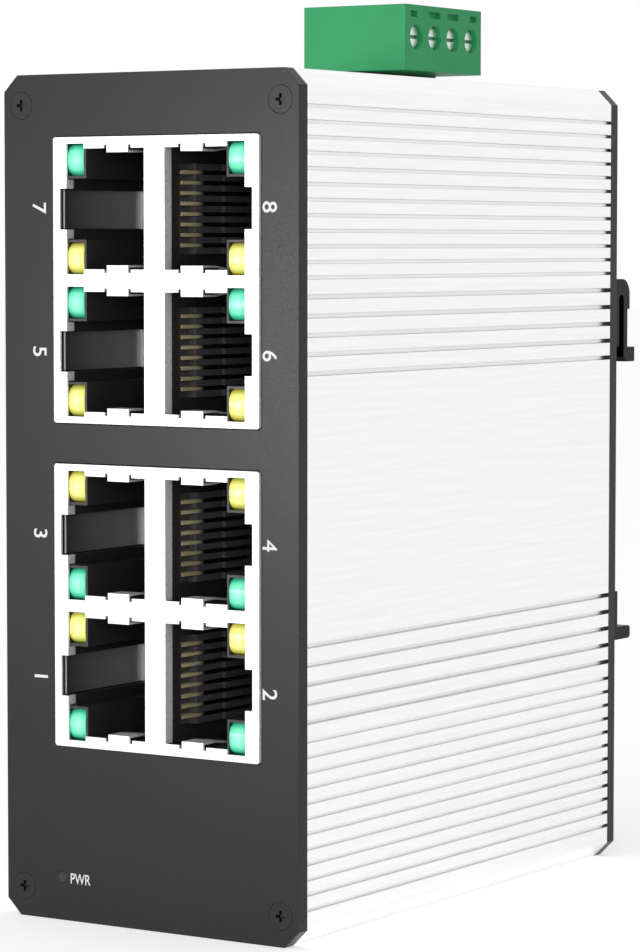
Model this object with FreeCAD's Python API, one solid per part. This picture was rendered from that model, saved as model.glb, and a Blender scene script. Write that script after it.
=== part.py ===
"""Eight-port ethernet switch for a 35 mm DIN rail.

Millimetres, +Z up. The front faces -Y. The origin is on the clip's seat face, at the middle of the
rail, so Y = 0 is the face that lies against the rail and Z = 0 is the rail's centre line.
"""
import FreeCAD
import Part
import math
import os

V = FreeCAD.Vector

# ---- housing extrusion ----------------------------------------------------------------------
HOUSING_H = 84.0            # height, Z
HOUSING_L = 60.4            # length of the extrusion, Y
CORNER = 1.64               # 45 degree corner chamfer, shared by both panels
SIDE_WALL = 2.3
END_WALL = 2.0              # top and bottom walls
SOLDER_ROOM = 2.35          # space behind the board
SPARE_ROOM = 2.05           # space between the jack modules and the other side wall
HOUSING_DROP = 0.6          # middle of the housing below the middle of the rail

# ---- grooves along the sides ----------------------------------------------------------------
BAND_HALF = 13.0            # half of the smooth band at mid-height
BROAD_GROOVES = 5           # wider grooves next to the band
BROAD_PITCH = 1.83
BROAD_WIDTH = 0.46
BROAD_DEPTH = 0.6
FINE_PITCH = 1.48
FINE_WIDTH = 0.36
FINE_DEPTH = 0.35
GROOVE_MARGIN = 1.0         # least plain height between the last groove and the corner

# ---- panels and their screws ----------------------------------------------------------------
PANEL_T = 1.5
SCREW_INSET_X = 2.1         # panel screw axis from the side
SCREW_INSET_Z = 3.0         # panel screw axis from the top or bottom
SCREW_D = 1.9
SCREW_HEAD_D = 2.7
SCREW_HEAD_T = 0.75
SCREW_L = 7.0
SCREW_PORT_R = 2.3          # round screw port in each corner of the extrusion
CROSS_SPAN = 1.1
CROSS_WIDTH = 0.3
CROSS_DEPTH = 0.45
FIT = 0.03                  # radial clearance of a screw in its hole
POWER_HOLE_D = 1.1
POWER_LED_UP = 4.3          # power lamp above the bottom of the housing

# ---- rail and clip --------------------------------------------------------------------------
RAIL_H = 35.0
RAIL_T = 1.0
RAIL_SLACK = 0.1            # slit wider than the rail flange
RAIL_LIFT = 1.7             # how far the rail can rise in the slit when the foot swings off
CLIP_INSET = 0.7            # clip narrower than the housing, each side
CLIP_T = 1.9                # plate behind the rail
HOOK_T = 0.85               # outer limb of the hook
HOOK_DEPTH = 7.4            # slit, from its round end down to the mouth
HOOK_TOP = 1.7              # metal above the slit's end
HOOK_BULGE = 0.5            # head beyond the outer limb
HOOK_HEAD_H = 3.3
HOOK_ROUND = 1.7            # outer top corner of the head
SEAT_RELIEF = 0.55          # plate stands back between the two rail flanges
FLANGE_H = 4.0              # height of plate that each rail flange lies on
FOOT_OUT = 1.65             # turned-out foot of the outer limb
FOOT_H = 1.6
TAB_T = 1.4
TAB_OUT = 2.95
CLIP_SCREW_Z = 7.5          # clip screws above and below the rail's middle
CLIP_SCREW_D = 2.9
CLIP_HEAD_D = 5.2
CLIP_HEAD_T = 1.15
CLIP_SCREW_OUT = 0.3        # screw end past the rear panel
CLIP_CROSS = 2.4

# ---- main board -----------------------------------------------------------------------------
BOARD_T = 1.6
BOARD_END_GAP = 0.5         # board edge to each panel
BOARD_EDGE_GAP = 0.1        # board edge to the top and bottom walls
GUIDE_H = 1.5               # guide ribs beside the board edges
GUIDE_T = 1.0
GUIDE_GAP = 0.05

# ---- jack modules ---------------------------------------------------------------------------
MODULE_DOWN = (20.25, 52.4)  # middle of the upper and lower module, below the housing's top
MODULE_EDGE = 0.7           # shield above or below the outer lamps
MODULE_PROUD = 0.3          # shield face in front of the panel
WINDOW_GAP = 0.1
WINDOW_R = 0.4
SHEET = 0.25                # shield sheet
PORT_PITCH = 14.0
DIVIDER = 1.22              # half of the wall between the two columns
BAY_W = 7.26                # plug bay, out from the divider
STEP_W = 2.09               # latch base, further out
LATCH_W = 0.84              # latch nib, furthest out
LATCH_FLOOR = 0.54          # moulding between the latch and the shield
BAY_HALF = 5.9              # half heights of bay, base and nib
STEP_HALF = 3.0
LATCH_HALF = 2.0
BAY_DEPTH = 14.0
LATCH_SETBACK = 0.8         # latch floor behind the shield's face
BAY_RELIEF = 0.15           # moulded bay stands back from the shield's edge
REAR_WALL = 2.5
LIP_DEPTH = 1.2             # sheet folded in along the divider and beside the latch
LIP_END_GAP = 0.1
LATCH_PORT = (-0.2, 1.2)    # hole in the latch floor, about the bay's depth
FLAP_NEAR = 3.13            # grounding flaps at the top and bottom of each bay
FLAP_FAR = 5.69
FLAP_TAB = 0.4              # flap's height in the plane of the sheet
FLAP_L = 4.5
FLAP_T = 0.2
FLAP_NOTCH = 0.33
PEG_W = 1.3                 # shield pegs through the board
PEG_OUT = 0.9
PEG_BACK = (9.0, 20.0)      # pegs behind the shield's face
PEG_GAP = 0.1

# ---- jack contacts --------------------------------------------------------------------------
WAYS = 8
CONTACT_PITCH = 1.016
CONTACT_W = 0.36
CONTACT_T = 0.28
CONTACT_TIP_FAR = 1.75      # free end, out from the module's middle
CONTACT_TIP_DEPTH = 10.2
BEND_FRONT = 0.35           # hairpin bend behind the carrier's front
BEND_RISE = 0.45
SLOT_W = 0.42
CARRIER_NEAR = 0.35         # back of the contact carrier, from the module's middle
CARRIER_BACK_T = 0.4
CARRIER_END = 0.35
CARRIER_FRONT = 2.4         # depth at which the carrier starts
COMB_FRONT = 4.6            # depth at which the comb starts
COMB_LOW = 0.5              # comb above the divider, where a plug lies over it
COMB_STEP = 9.1             # depth at which it steps up, behind a plug's end
COMB_HIGH = 0.85
TAIL_GAP = 1.1              # first row of tails behind the moulding
TAIL_STEP = 1.9
TAIL_ROWS = 4
TAIL_ROOM = 2.1             # shield behind the last row
TAIL_OUT = 0.8              # soldered ends behind the board

# ---- lamps in the jack corners --------------------------------------------------------------
LAMP_NEAR = 8.62
LAMP_LOW = 3.3              # from the port's middle
LAMP_HIGH = 6.35
LAMP_L = 8.0
LAMP_SETBACK = 0.2          # middle of the bowed front behind the shield's face
LAMP_BOW = 0.95             # its upper and lower edges, behind the middle
LAMP_GAP = 0.04

# ---- terminal block -------------------------------------------------------------------------
POLES = 4
POLE_PITCH = 3.81
PLUG_L = 15.9               # along Y
PLUG_T = 12.85              # along X
PLUG_H = 7.0                # above the header
PLUG_FROM_REAR = 11.85      # middle of the block in front of the rear face
SHOULDER_UP = 1.85          # plug shoulder above the housing
HEADER_DEPTH = 9.2
HEADER_WALL = 0.8
HEADER_OUT = 7.95           # header's far face above the board
HEADER_FLOOR = 1.6
NOSE_GAP = 0.1
NOSE_END_GAP = 0.2
SOCKET_GAP = 0.1            # round the contact leaves
CUTOUT_GAP = 0.3
PIN_W = 1.0
PIN_TIP_DOWN = 2.3          # pin tip below the shoulder
PIN_TAIL_DROP = 1.0         # pin tail below the header's floor
STRIP_T = 0.4               # contact strip in the plug
STRIP_W = 1.7
LEAF_GAP = 0.04
LEAF_L = 5.6
STRIP_IN = 6.6              # clamping strip behind the screw face
CHAMBER_SIDE = 0.4          # half of the wall between two chambers
CHAMBER_UP = 1.1            # chamber floor above the shoulder
CHAMBER_H = 4.5
CHAMBER_IN = 2.5            # wall in front of the chamber
CHAMBER_L = 8.3
CLAMP_HEAD_D = 2.4
CLAMP_HEAD_T = 1.25
CLAMP_SUNK = 0.5            # screw head below the face
CLAMP_D = 1.6
CLAMP_TIP_GAP = 0.05
CLAMP_HOLE_GAP = 0.1
CLAMP_THRUST_GAP = 0.02     # under the screw head
CLAMP_SLOT_W = 0.36
CLAMP_SLOT_D = 0.5
CAGE_L = 5.3                # along the screw
CAGE_W = 2.9
CAGE_H = 3.8
CAGE_SIDE_T = 0.5
CAGE_NUT_T = 1.3
CAGE_FLOOR_T = 0.7
CAGE_TRAVEL = 2.0
CAGE_END_GAP = 0.2
CAGE_TOP_GAP = 0.1
WIRE_HOLE = 2.4
WIRE_FUNNEL = 0.4
MARK_H = 0.65               # shallow pockets above the screws
MARK_DOWN = 0.65
MARK_D = 0.45
MARK_HALF = 1.2
MARK_SHORT = 0.15

# ---- parts on the board ---------------------------------------------------------------------
CHIP = (14.0, 20.0, 1.6)    # along Y, along Z, height above the board
CHIP_FROM_REAR = 23.4
CHIP_DOWN = 39.0            # below the housing's top
CHIP_STAND = 0.15
CHIP_LEAD = (0.9, 0.3)      # length beyond the body, thickness
CHIP_CORNER = 2.0           # lead rows stop short of the corners
CHIP_CHAMFER = 0.25
TRANSFORMER = (9.0, 12.6, 5.6)
TRANSFORMER_FROM_REAR = 10.4
TRANSFORMER_DROP = 2.5      # middle of their row below the housing's middle
TRANSFORMER_STEP = 15.0
TRANSFORMERS = 4
INDUCTOR = (7.2, 7.2, 4.2)
INDUCTOR_CORNER = 1.2
INDUCTOR_AT = (6.9, 10.0)   # behind the jack modules, above the housing's bottom
CAPACITOR_D = 6.3
CAPACITOR_H = 7.6
CAPACITOR_AT = ((11.4, 12.4), (11.4, 20.0))  # behind the jack modules, below the housing's top
REGULATOR = (5.0, 6.2, 1.6)
REGULATOR_AT = (14.5, 10.0)
SUPPRESSOR = (4.4, 3.6, 2.3)
SUPPRESSOR_AT = (-5.1, 6.0)
FUSE = (7.4, 3.1, 2.6)
FUSE_AT = (4.3, 6.4)
CRYSTAL = (4.6, 11.2, 3.6)
CRYSTAL_AT = (7.9, 56.0)
POWER_LED = (1.5, 1.6, 1.2)

# ---- places worked out from the sizes above -------------------------------------------------
BAY_FAR = DIVIDER + BAY_W                      # out from the modules' middle
STEP_FAR = BAY_FAR + STEP_W
LATCH_FAR = STEP_FAR + LATCH_W
LAMP_FAR = STEP_FAR - LAMP_GAP
MODULE_W = 2 * (LATCH_FAR + LATCH_FLOOR + SHEET)
MODULE_H = PORT_PITCH + 2 * (LAMP_HIGH + MODULE_EDGE)
HOUSING_W = MODULE_W + BOARD_T + SOLDER_ROOM + SPARE_ROOM + 2 * SIDE_WALL
CLIP_W = HOUSING_W - 2 * CLIP_INSET
Y_REAR = -CLIP_T                               # rear face of the rear panel
Y_BACK_END = Y_REAR - PANEL_T                  # rear end of the extrusion
Y_FRONT_END = Y_BACK_END - HOUSING_L           # front end of the extrusion
Y_FRONT = Y_FRONT_END - PANEL_T                # front face of the front panel
Z_MID = -HOUSING_DROP
Z_TOP = Z_MID + HOUSING_H / 2
Z_BOTTOM = Z_MID - HOUSING_H / 2
Y_FACE = Y_FRONT - MODULE_PROUD                # front face of the jack shields
TAIL_FIRST = BAY_DEPTH + REAR_WALL + TAIL_GAP
MODULE_DEPTH = TAIL_FIRST + (TAIL_ROWS - 1) * TAIL_STEP + TAIL_ROOM
Y_BEHIND = Y_FACE + MODULE_DEPTH               # rear face of the jack shields
X_SOLDER = SIDE_WALL + SOLDER_ROOM - HOUSING_W / 2
X_BOARD = X_SOLDER + BOARD_T                   # component face of the board
MODULE_X = X_BOARD + MODULE_W / 2              # middle of both modules
SCREW_X = HOUSING_W / 2 - SCREW_INSET_X
SCREW_Z = HOUSING_H / 2 - SCREW_INSET_Z
Z_SHOULDER = Z_TOP + SHOULDER_UP
Y_PLUG = Y_REAR - PLUG_FROM_REAR
X_HEADER = X_BOARD + HEADER_OUT
X_NOSE = X_BOARD + HEADER_WALL + NOSE_GAP
X_NOSE_FAR = X_HEADER - HEADER_WALL - NOSE_GAP
X_SCREW_FACE = X_NOSE + PLUG_T
X_PIN = (X_NOSE + X_NOSE_FAR) / 2
X_STRIP = X_SCREW_FACE - STRIP_IN              # middle of the clamping strip
X_CHAMBER = X_SCREW_FACE - CHAMBER_IN          # chamber end next to the screws
Z_CHAMBER = Z_SHOULDER + CHAMBER_UP
Z_CLAMP = Z_CHAMBER + CHAMBER_H - CAGE_H / 2 - CAGE_TOP_GAP
RAIL_SLIT = RAIL_T + RAIL_SLACK


# ---- small helpers --------------------------------------------------------------------------
def block(x, y, z):
    """Box between two values on each axis."""
    x0, x1 = min(x), max(x)
    y0, y1 = min(y), max(y)
    z0, z1 = min(z), max(z)
    return Part.makeBox(x1 - x0, y1 - y0, z1 - z0, V(x0, y0, z0))


def about(middle, size):
    """Two values that stand evenly about a middle."""
    return (middle - size / 2, middle + size / 2)


def prism(points, direction):
    """Flat polygon pushed along a vector."""
    ring = Part.makePolygon(points + [points[0]])
    return Part.Face(ring).extrude(direction)


def turned(profile, base, axis):
    """Solid of revolution from (radius, distance) pairs along an axis."""
    side = V(0, 0, 1).cross(axis)
    if side.Length < 0.5:
        side = V(1, 0, 0)
    points = [base + side * r + axis * d for r, d in profile]
    ring = Part.makePolygon(points + [points[0]])
    return Part.Face(ring).revolve(base, axis, 360)


def strip_outline(path, thickness):
    """Outline of a bent strip of even thickness round a list of (a, b) points."""
    half = thickness / 2
    left = []
    right = []
    for i, (a, b) in enumerate(path):
        before = path[max(i - 1, 0)]
        after = path[min(i + 1, len(path) - 1)]
        angle_in = math.atan2(b - before[1], a - before[0]) if i else None
        angle_out = math.atan2(after[1] - b, after[0] - a) if i < len(path) - 1 else None
        angle_in = angle_out if angle_in is None else angle_in
        angle_out = angle_in if angle_out is None else angle_out
        turn = math.remainder(angle_out - angle_in, math.tau)
        normal = angle_in + turn / 2 + math.pi / 2
        reach = half / math.cos(turn / 2)
        left.append((a + reach * math.cos(normal), b + reach * math.sin(normal)))
        right.append((a - reach * math.cos(normal), b - reach * math.sin(normal)))
    return left + right[::-1]


def rounded_along_y(shape, radius):
    """Same block with its four edges along Y rounded."""
    edges = [e for e in shape.Edges if abs(e.tangentAt(e.FirstParameter).y) > 0.9]
    return shape.makeFillet(radius, edges)


def fused(shapes):
    """One solid from touching or overlapping ones."""
    first, *rest = shapes
    return first.multiFuse(rest).removeSplitter() if rest else first


def cut(shape, tools):
    """Shape with every tool taken away."""
    return shape.cut(Part.makeCompound(tools)) if tools else shape


def save(name, shapes):
    """Write one node; several separate solids go in as a group."""
    solids = [s for shape in shapes for s in shape.Solids]
    node = solids[0] if len(solids) == 1 else Part.makeCompound(solids)
    node.exportStep(f"parts/{name}.step")


# ---- housing and panels ---------------------------------------------------------------------
def groove_rows():
    """(height, width, depth) of each groove above mid-height."""
    rows = []
    z = BAND_HALF
    for _ in range(BROAD_GROOVES):
        rows.append((z, BROAD_WIDTH, BROAD_DEPTH))
        z += BROAD_PITCH
    while z + FINE_WIDTH / 2 <= HOUSING_H / 2 - CORNER - GROOVE_MARGIN:
        rows.append((z, FINE_WIDTH, FINE_DEPTH))
        z += FINE_PITCH
    return rows


def outline(y, length, grooved):
    """The common outline of extrusion and panels, chamfered at its corners."""
    x = HOUSING_W / 2
    top = HOUSING_H / 2
    flank = [(x, -top + CORNER)]
    rows = groove_rows() if grooved else []
    mirrored = [(-z, w, d) for z, w, d in rows]
    for z, width, depth in sorted(rows + mirrored):
        flank += [(x, z - width / 2), (x - depth, z - width / 2)]
        flank += [(x - depth, z + width / 2), (x, z + width / 2)]
    flank.append((x, top - CORNER))
    right = [(x - CORNER, -top)] + flank + [(x - CORNER, top)]
    left = [(-a, b) for a, b in reversed(right)]
    points = [V(a, y, Z_MID + b) for a, b in right + left]
    return prism(points, V(0, length, 0))


def panel_screw_axes():
    """X and Z of the four panel screws."""
    return [(sx * SCREW_X, Z_MID + sz * SCREW_Z) for sx in (-1, 1) for sz in (-1, 1)]


def board_guides():
    """Ribs on the top and bottom walls that hold the board's edges."""
    ribs = []
    for wall, way in ((Z_TOP - END_WALL, -1), (Z_BOTTOM + END_WALL, 1)):
        height = (wall - way * END_WALL / 2, wall + way * GUIDE_H)
        for x, out in ((X_BOARD + GUIDE_GAP, 1), (X_SOLDER - GUIDE_GAP, -1)):
            ribs.append(block((x, x + out * GUIDE_T), (Y_FRONT_END, Y_BACK_END), height))
    return ribs


def make_housing():
    bore_x = HOUSING_W / 2 - SIDE_WALL
    bore_z = HOUSING_H / 2 - END_WALL
    inside = block((-bore_x, bore_x), (Y_FRONT_END, Y_BACK_END), (Z_MID - bore_z, Z_MID + bore_z))
    blank = outline(Y_FRONT_END, HOUSING_L, True)
    ports = [Part.makeCylinder(SCREW_PORT_R, HOUSING_L, V(x, Y_FRONT_END, z), V(0, 1, 0))
             for x, z in panel_screw_axes()]
    ports = [port.common(blank) for port in ports]
    tube = fused([blank.cut(inside)] + ports + board_guides())
    bores = [Part.makeCylinder(SCREW_D / 2 + FIT, HOUSING_L, V(x, Y_FRONT_END, z), V(0, 1, 0))
             for x, z in panel_screw_axes()]
    window = block((X_BOARD - CUTOUT_GAP, X_HEADER + CUTOUT_GAP),
                   about(Y_PLUG, PLUG_L + 2 * CUTOUT_GAP),
                   (Z_TOP - END_WALL - GUIDE_H, Z_TOP))
    guard = block((X_SOLDER - GUIDE_GAP - GUIDE_T, X_BOARD - CUTOUT_GAP),
                  about(Y_PLUG, PLUG_L + 4 * CUTOUT_GAP),
                  (Z_TOP - END_WALL - GUIDE_H, Z_TOP))
    return cut(tube, bores + [window.cut(guard)])


def flat_head_screw(base, axis, head_d, head_t, shank_d, length, cross):
    """Countersunk screw with a cross recess. Base is the middle of the head's face."""
    screw = turned([(0, 0), (head_d / 2, 0), (shank_d / 2, head_t), (shank_d / 2, length), (0, length)],
                   base, axis)
    reach = base + axis * CROSS_DEPTH
    low = V(min(base.x, reach.x), min(base.y, reach.y), min(base.z, reach.z))
    arms = []
    for span in ((cross, CROSS_WIDTH), (CROSS_WIDTH, cross)):
        arms.append(Part.makeBox(span[0], CROSS_DEPTH, span[1],
                                 V(base.x - span[0] / 2, low.y, base.z - span[1] / 2)))
    return cut(screw, [fused(arms)])


def countersink(base, axis, head_d, head_t, shank_d, depth):
    """The hole that such a screw seats in."""
    return turned([(0, 0), (head_d / 2 + FIT, 0), (shank_d / 2 + FIT, head_t), (shank_d / 2 + FIT, depth),
                   (0, depth)], base, axis)


def window_tool(down):
    """Rounded window for one jack module."""
    width = MODULE_W + 2 * WINDOW_GAP
    height = MODULE_H + 2 * WINDOW_GAP
    tool = block(about(MODULE_X, width), (Y_FRONT, Y_FRONT_END), about(Z_TOP - down, height))
    return rounded_along_y(tool, WINDOW_R)


def power_lamp_place():
    """X and Z of the power lamp, whose body lies on the board."""
    return X_BOARD + POWER_LED[2] / 2, Z_BOTTOM + POWER_LED_UP


def make_front_panel():
    plate = outline(Y_FRONT, PANEL_T, False)
    tools = [window_tool(z) for z in MODULE_DOWN]
    for x, z in panel_screw_axes():
        tools.append(countersink(V(x, Y_FRONT, z), V(0, 1, 0),
                                 SCREW_HEAD_D, SCREW_HEAD_T, SCREW_D, PANEL_T))
    x, z = power_lamp_place()
    tools.append(Part.makeCylinder(POWER_HOLE_D / 2, PANEL_T, V(x, Y_FRONT, z), V(0, 1, 0)))
    return cut(plate, tools)


def clip_screw_axes():
    """X and Z of the two clip screws."""
    return [(0, -CLIP_SCREW_Z), (0, CLIP_SCREW_Z)]


def make_rear_panel():
    plate = outline(Y_BACK_END, PANEL_T, False)
    tools = []
    for x, z in panel_screw_axes():
        tools.append(countersink(V(x, Y_REAR, z), V(0, -1, 0),
                                 SCREW_HEAD_D, SCREW_HEAD_T, SCREW_D, PANEL_T))
    for x, z in clip_screw_axes():
        tools.append(Part.makeCylinder(CLIP_SCREW_D / 2 + FIT, PANEL_T, V(x, Y_BACK_END, z), V(0, 1, 0)))
    return cut(plate, tools)


def make_panel_screws(y, way):
    return [flat_head_screw(V(x, y, z), V(0, way, 0), SCREW_HEAD_D, SCREW_HEAD_T,
                            SCREW_D, SCREW_L, CROSS_SPAN) for x, z in panel_screw_axes()]


# ---- rail clip ------------------------------------------------------------------------------
def make_din_clip():
    """Extruded clip: plate, hairpin hook above, supporting tab below."""
    slit_end = RAIL_H / 2 + RAIL_LIFT
    top = slit_end + HOOK_TOP
    mouth = slit_end - HOOK_DEPTH
    limb = RAIL_SLIT + HOOK_T
    tab_top = -RAIL_H / 2
    head = block((0, CLIP_W), (-CLIP_T, limb + HOOK_BULGE), (top - HOOK_HEAD_H, top))
    head = head.makeFillet(HOOK_ROUND, [e for e in head.Edges if e.BoundBox.XLength > CLIP_W / 2
                                        and e.BoundBox.YMin > limb and e.BoundBox.ZMin > top - 0.1])
    plate = block((0, CLIP_W), (-CLIP_T, 0), (tab_top - TAB_T, top - HOOK_TOP / 2))
    outer = block((0, CLIP_W), (RAIL_SLIT, limb), (mouth, top - HOOK_HEAD_H / 2))
    foot = block((0, CLIP_W), (RAIL_SLIT, limb + FOOT_OUT), (mouth, mouth + FOOT_H))
    tab = block((0, CLIP_W), (-CLIP_T, TAB_OUT), (tab_top - TAB_T, tab_top))
    slit = block((0, CLIP_W), (0, RAIL_SLIT), (mouth, slit_end - RAIL_SLIT / 2))
    slit_round = Part.makeCylinder(RAIL_SLIT / 2, CLIP_W,
                                   V(0, RAIL_SLIT / 2, slit_end - RAIL_SLIT / 2), V(1, 0, 0))
    relief = block((0, CLIP_W), (-SEAT_RELIEF, 0), (tab_top + FLANGE_H, -tab_top - FLANGE_H))
    clip = fused([head, plate, outer, foot, tab]).cut(fused([slit, slit_round, relief]))
    lead = [e for e in clip.Edges if e.BoundBox.XLength > CLIP_W / 2
            and abs(e.CenterOfMass.y - RAIL_SLIT) < 0.01 and abs(e.CenterOfMass.z - mouth) < 0.01]
    clip = clip.makeChamfer(FOOT_H / 3, lead)
    root = [e for e in clip.Edges if e.BoundBox.XLength > CLIP_W / 2
            and abs(e.CenterOfMass.y - TAB_OUT) < 0.01]
    clip = clip.makeFillet(TAB_T * 0.3, root)
    clip.translate(V(-CLIP_W / 2, 0, 0))
    sinks = [countersink(V(x, -SEAT_RELIEF, z), V(0, -1, 0), CLIP_HEAD_D, CLIP_HEAD_T,
                         CLIP_SCREW_D, CLIP_T) for x, z in clip_screw_axes()]
    return cut(clip, sinks)


def make_clip_screws():
    length = CLIP_T - SEAT_RELIEF + PANEL_T + CLIP_SCREW_OUT
    return [flat_head_screw(V(x, -SEAT_RELIEF, z), V(0, -1, 0), CLIP_HEAD_D, CLIP_HEAD_T,
                            CLIP_SCREW_D, length, CLIP_CROSS) for x, z in clip_screw_axes()]


# ---- jack modules ---------------------------------------------------------------------------
def span(side, near, far):
    """X stretch measured out from the modules' middle, on one side of it."""
    return (MODULE_X + side * near, MODULE_X + side * far)


def depth(front, back):
    """Y stretch measured in from the shield's face."""
    return (Y_FACE + front, Y_FACE + back)


def module_ports(down):
    """(side, port middle) of a module's four ports."""
    middle = Z_TOP - down
    return [(side, middle + way * PORT_PITCH / 2) for side in (-1, 1) for way in (-1, 1)]


def way_heights():
    """Heights of the eight contacts about a port's middle."""
    return [(i - (WAYS - 1) / 2) * CONTACT_PITCH for i in range(WAYS)]


def carrier_half():
    """Half height of a contact carrier: the eight ways and an end rib."""
    return WAYS * CONTACT_PITCH / 2 + CARRIER_END


def lamp_range(way, gap):
    """Z stretch of a corner lamp about the port's middle."""
    return (way * (LAMP_LOW - gap), way * (LAMP_HIGH + gap))


def lamp_channels(down):
    """Channels in the moulding for the two lamps of each port."""
    channels = []
    for side, port in module_ports(down):
        for way in (-1, 1):
            low, high = lamp_range(way, LAMP_GAP)
            channels.append(block(span(side, LAMP_NEAR - LAMP_GAP, LAMP_FAR + LAMP_GAP),
                                  depth(SHEET, SHEET + LAMP_L), (port + low, port + high)))
    return channels


def flap(side, port, way):
    """Grounding flap: a tab of the front sheet whose leaf bends back into the bay."""
    front = FLAP_T / 2
    leaf = BAY_HALF - FLAP_TAB + FLAP_T / 2
    path = [(front, BAY_HALF), (front, leaf), (FLAP_L / 2, leaf), (FLAP_L, BAY_HALF)]
    ring = strip_outline(path, FLAP_T)
    x0, x1 = span(side, FLAP_NEAR, FLAP_FAR)
    points = [V(x0, Y_FACE + a, port + way * b) for a, b in ring]
    return prism(points, V(x1 - x0, 0, 0))


def latch_lips(side, port, front):
    """Sheet folded in at each side of the latch nib's opening."""
    return [block(span(side, STEP_FAR, STEP_FAR + SHEET), depth(front, LIP_DEPTH),
                  (port + way * LATCH_HALF, port + way * (STEP_HALF - LIP_END_GAP))) for way in (-1, 1)]


def shield_openings(down):
    """Everything cut through the front sheet of one shield."""
    tools = []
    for side, port in module_ports(down):
        tools.append(block(span(side, DIVIDER, BAY_FAR), depth(0, SHEET), about(port, 2 * BAY_HALF)))
        tools.append(block(span(side, BAY_FAR, STEP_FAR), depth(0, SHEET),
                           about(port, 2 * (LAMP_HIGH + LAMP_GAP))))
        tools.append(block(span(side, STEP_FAR, LATCH_FAR), depth(0, SHEET), about(port, 2 * LATCH_HALF)))
        for near, far in ((FLAP_NEAR - FLAP_NOTCH, FLAP_NEAR), (FLAP_FAR, FLAP_FAR + FLAP_NOTCH)):
            tools.append(block(span(side, near, far), depth(0, SHEET),
                               about(port, 2 * (BAY_HALF + FLAP_NOTCH))))
    return tools


def shield_pegs(down):
    """Pegs that go through the board, and their heights."""
    middle = Z_TOP - down
    pegs = []
    for way in (-1, 1):
        z = middle + way * (MODULE_H / 2 - SHEET / 2)
        pegs += [(Y_FACE + back, z) for back in PEG_BACK]
    return pegs


def make_shield(down):
    middle = Z_TOP - down
    outer = block(about(MODULE_X, MODULE_W), depth(0, MODULE_DEPTH), about(middle, MODULE_H))
    outer = rounded_along_y(outer, WINDOW_R - WINDOW_GAP)
    inner = block((X_BOARD, MODULE_X + MODULE_W / 2 - SHEET), depth(SHEET, MODULE_DEPTH - SHEET),
                  about(middle, MODULE_H - 2 * SHEET))
    front_flange = block((X_BOARD, X_BOARD + SHEET), depth(0, MODULE_PROUD + PANEL_T + BOARD_END_GAP),
                         about(middle, MODULE_H)).common(outer)
    shell = cut(fused([outer.cut(inner), front_flange]), shield_openings(down))
    extras = []
    for side, port in module_ports(down):
        extras.append(block(span(side, DIVIDER - SHEET, DIVIDER), depth(0, LIP_DEPTH),
                            about(port, 2 * BAY_HALF)))
        extras += latch_lips(side, port, 0)
        extras += [flap(side, port, way) for way in (-1, 1)]
    for y, z in shield_pegs(down):
        extras.append(block((X_SOLDER - PEG_OUT, X_BOARD + WINDOW_R), about(y, PEG_W), about(z, SHEET)))
    return fused([shell] + extras)


def make_jack_housing(down):
    """Black moulding with four plug bays, latch slots and lamp channels."""
    middle = Z_TOP - down
    back = BAY_DEPTH + REAR_WALL
    far = MODULE_W / 2 - SHEET
    near = BOARD_END_GAP + PANEL_T + MODULE_PROUD
    body = block((X_BOARD, MODULE_X + far), depth(SHEET, back), about(middle, MODULE_H - 2 * SHEET))
    step = block((X_BOARD, X_BOARD + SHEET), depth(SHEET, near), about(middle, MODULE_H))
    tools = [step] + lamp_channels(down)
    pocket_z = 2 * carrier_half()
    for side, port in module_ports(down):
        bay_z = about(port, 2 * (BAY_HALF + BAY_RELIEF))
        tools.append(block(span(side, DIVIDER, BAY_FAR - BAY_RELIEF), depth(SHEET, BAY_DEPTH), bay_z))
        tools.append(block(span(side, DIVIDER, STEP_FAR), depth(SHEET, BAY_DEPTH),
                           about(port, 2 * STEP_HALF)))
        tools.append(block(span(side, DIVIDER, LATCH_FAR), depth(SHEET, BAY_DEPTH + SHEET),
                           about(port, 2 * LATCH_HALF)))
        latch_port = depth(BAY_DEPTH + LATCH_PORT[0], BAY_DEPTH + LATCH_PORT[1])
        tools.append(block(span(side, STEP_FAR, far), latch_port, about(port, 2 * LATCH_HALF)))
        tools.append(block(span(side, STEP_FAR, far), depth(SHEET, LATCH_SETBACK),
                           about(port, 2 * LATCH_HALF)))
        tools.append(block(span(side, DIVIDER - SHEET, DIVIDER), depth(SHEET, LIP_DEPTH),
                           about(port, 2 * BAY_HALF)))
        tools += latch_lips(side, port, SHEET)
        tools.append(block(span(side, CARRIER_NEAR, DIVIDER), depth(CARRIER_FRONT, back),
                           about(port, pocket_z)))
    return cut(body, tools)


def make_carrier(side, port):
    """Contact carrier of one port: a thin back with a stepped comb behind the contact bends."""
    half = carrier_half()
    floor = CARRIER_NEAR + CARRIER_BACK_T
    base = block(span(side, CARRIER_NEAR, floor), depth(CARRIER_FRONT, BAY_DEPTH + REAR_WALL),
                 about(port, 2 * half))
    low, high = (DIVIDER + COMB_LOW, DIVIDER + COMB_HIGH)
    rib = [(floor, COMB_FRONT), (low, COMB_FRONT), (low, COMB_STEP), (high, COMB_STEP),
           (high, BAY_DEPTH), (floor, BAY_DEPTH)]
    gaps = [-half] + [z + way * SLOT_W / 2 for z in way_heights() for way in (-1, 1)] + [half]
    ribs = []
    for start, end in zip(gaps[::2], gaps[1::2]):
        points = [V(MODULE_X + side * a, Y_FACE + b, port + start) for a, b in rib]
        ribs.append(prism(points, V(0, 0, end - start)))
    return fused([base] + ribs)


def tail_depth(side, way_index):
    """Depth of a contact's tail; neighbours stagger, and the far column ends further back."""
    row = (0 if side < 0 else 2) + way_index % 2
    return TAIL_FIRST + row * TAIL_STEP


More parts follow.
